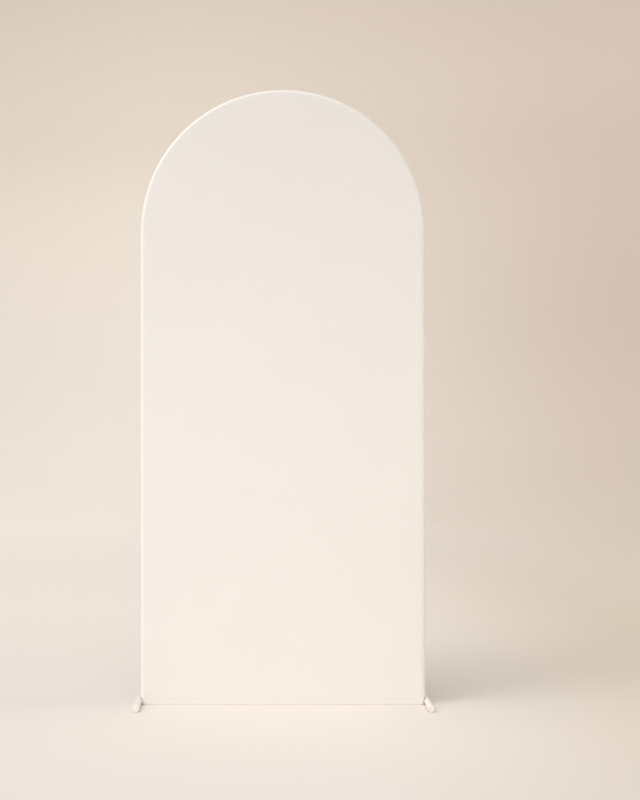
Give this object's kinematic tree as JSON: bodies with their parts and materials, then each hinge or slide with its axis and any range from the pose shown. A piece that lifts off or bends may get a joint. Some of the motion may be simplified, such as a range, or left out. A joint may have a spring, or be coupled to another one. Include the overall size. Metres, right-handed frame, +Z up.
{
  "type": "backdrop arch",
  "caption": "Free-standing arched photo backdrop: a knock-down round-tube frame on bar feet under a plain stretched cloth cover.",
  "frame": {"origin": "on the floor, midway between the two feet and midway through the thickness", "axes": "+X along the width to the right as seen from the front, +Y from the front to the back, +Z up"},
  "size_m": [1.037, 0.32, 2.16],
  "materials": {
    "cover_cloth": "smooth stretch knit, matt",
    "painted_tube": "semi-gloss powder coat",
    "cap_plastic": "fine matt",
    "bare_steel": "zinc-plated"
  },
  "bodies": {
    "root": {"cover_front": "cover_cloth", "cover_back": "cover_cloth", "cover_band_left": "cover_cloth", "cover_band_arch": "cover_cloth", "cover_band_right": "cover_cloth", "hem_front": "cover_cloth", "hem_back": "cover_cloth", "foot_bar_left": "painted_tube", "foot_bar_right": "painted_tube", "foot_spigot_left": "painted_tube", "foot_spigot_right": "painted_tube", "foot_cap_left_front": "cap_plastic", "foot_cap_left_back": "cap_plastic", "foot_cap_right_front": "cap_plastic", "foot_cap_right_back": "cap_plastic", "upright_lower_left": "painted_tube", "upright_lower_right": "painted_tube", "upright_upper_left": "painted_tube", "upright_upper_right": "painted_tube", "bent_tube_low_left": "painted_tube", "bent_tube_low_right": "painted_tube", "bent_tube_top_left": "painted_tube", "bent_tube_top_right": "painted_tube", "joiner_mid_left": "bare_steel", "joiner_mid_right": "bare_steel", "joiner_top_left": "bare_steel", "joiner_top_right": "bare_steel", "joiner_arch_left": "bare_steel", "joiner_arch_right": "bare_steel", "joiner_apex": "bare_steel", "snap_buttons": "bare_steel", "joiner_rivets": "bare_steel", "crossbar_low": "painted_tube", "crossbar_mid": "painted_tube", "crossbar_top": "painted_tube", "bracket_low_left": "painted_tube", "bracket_low_right": "painted_tube", "bracket_mid_left": "painted_tube", "bracket_mid_right": "painted_tube", "bracket_top_left": "painted_tube", "bracket_top_right": "painted_tube", "screws": "bare_steel", "nuts": "bare_steel"}
  },
  "joints": []
}
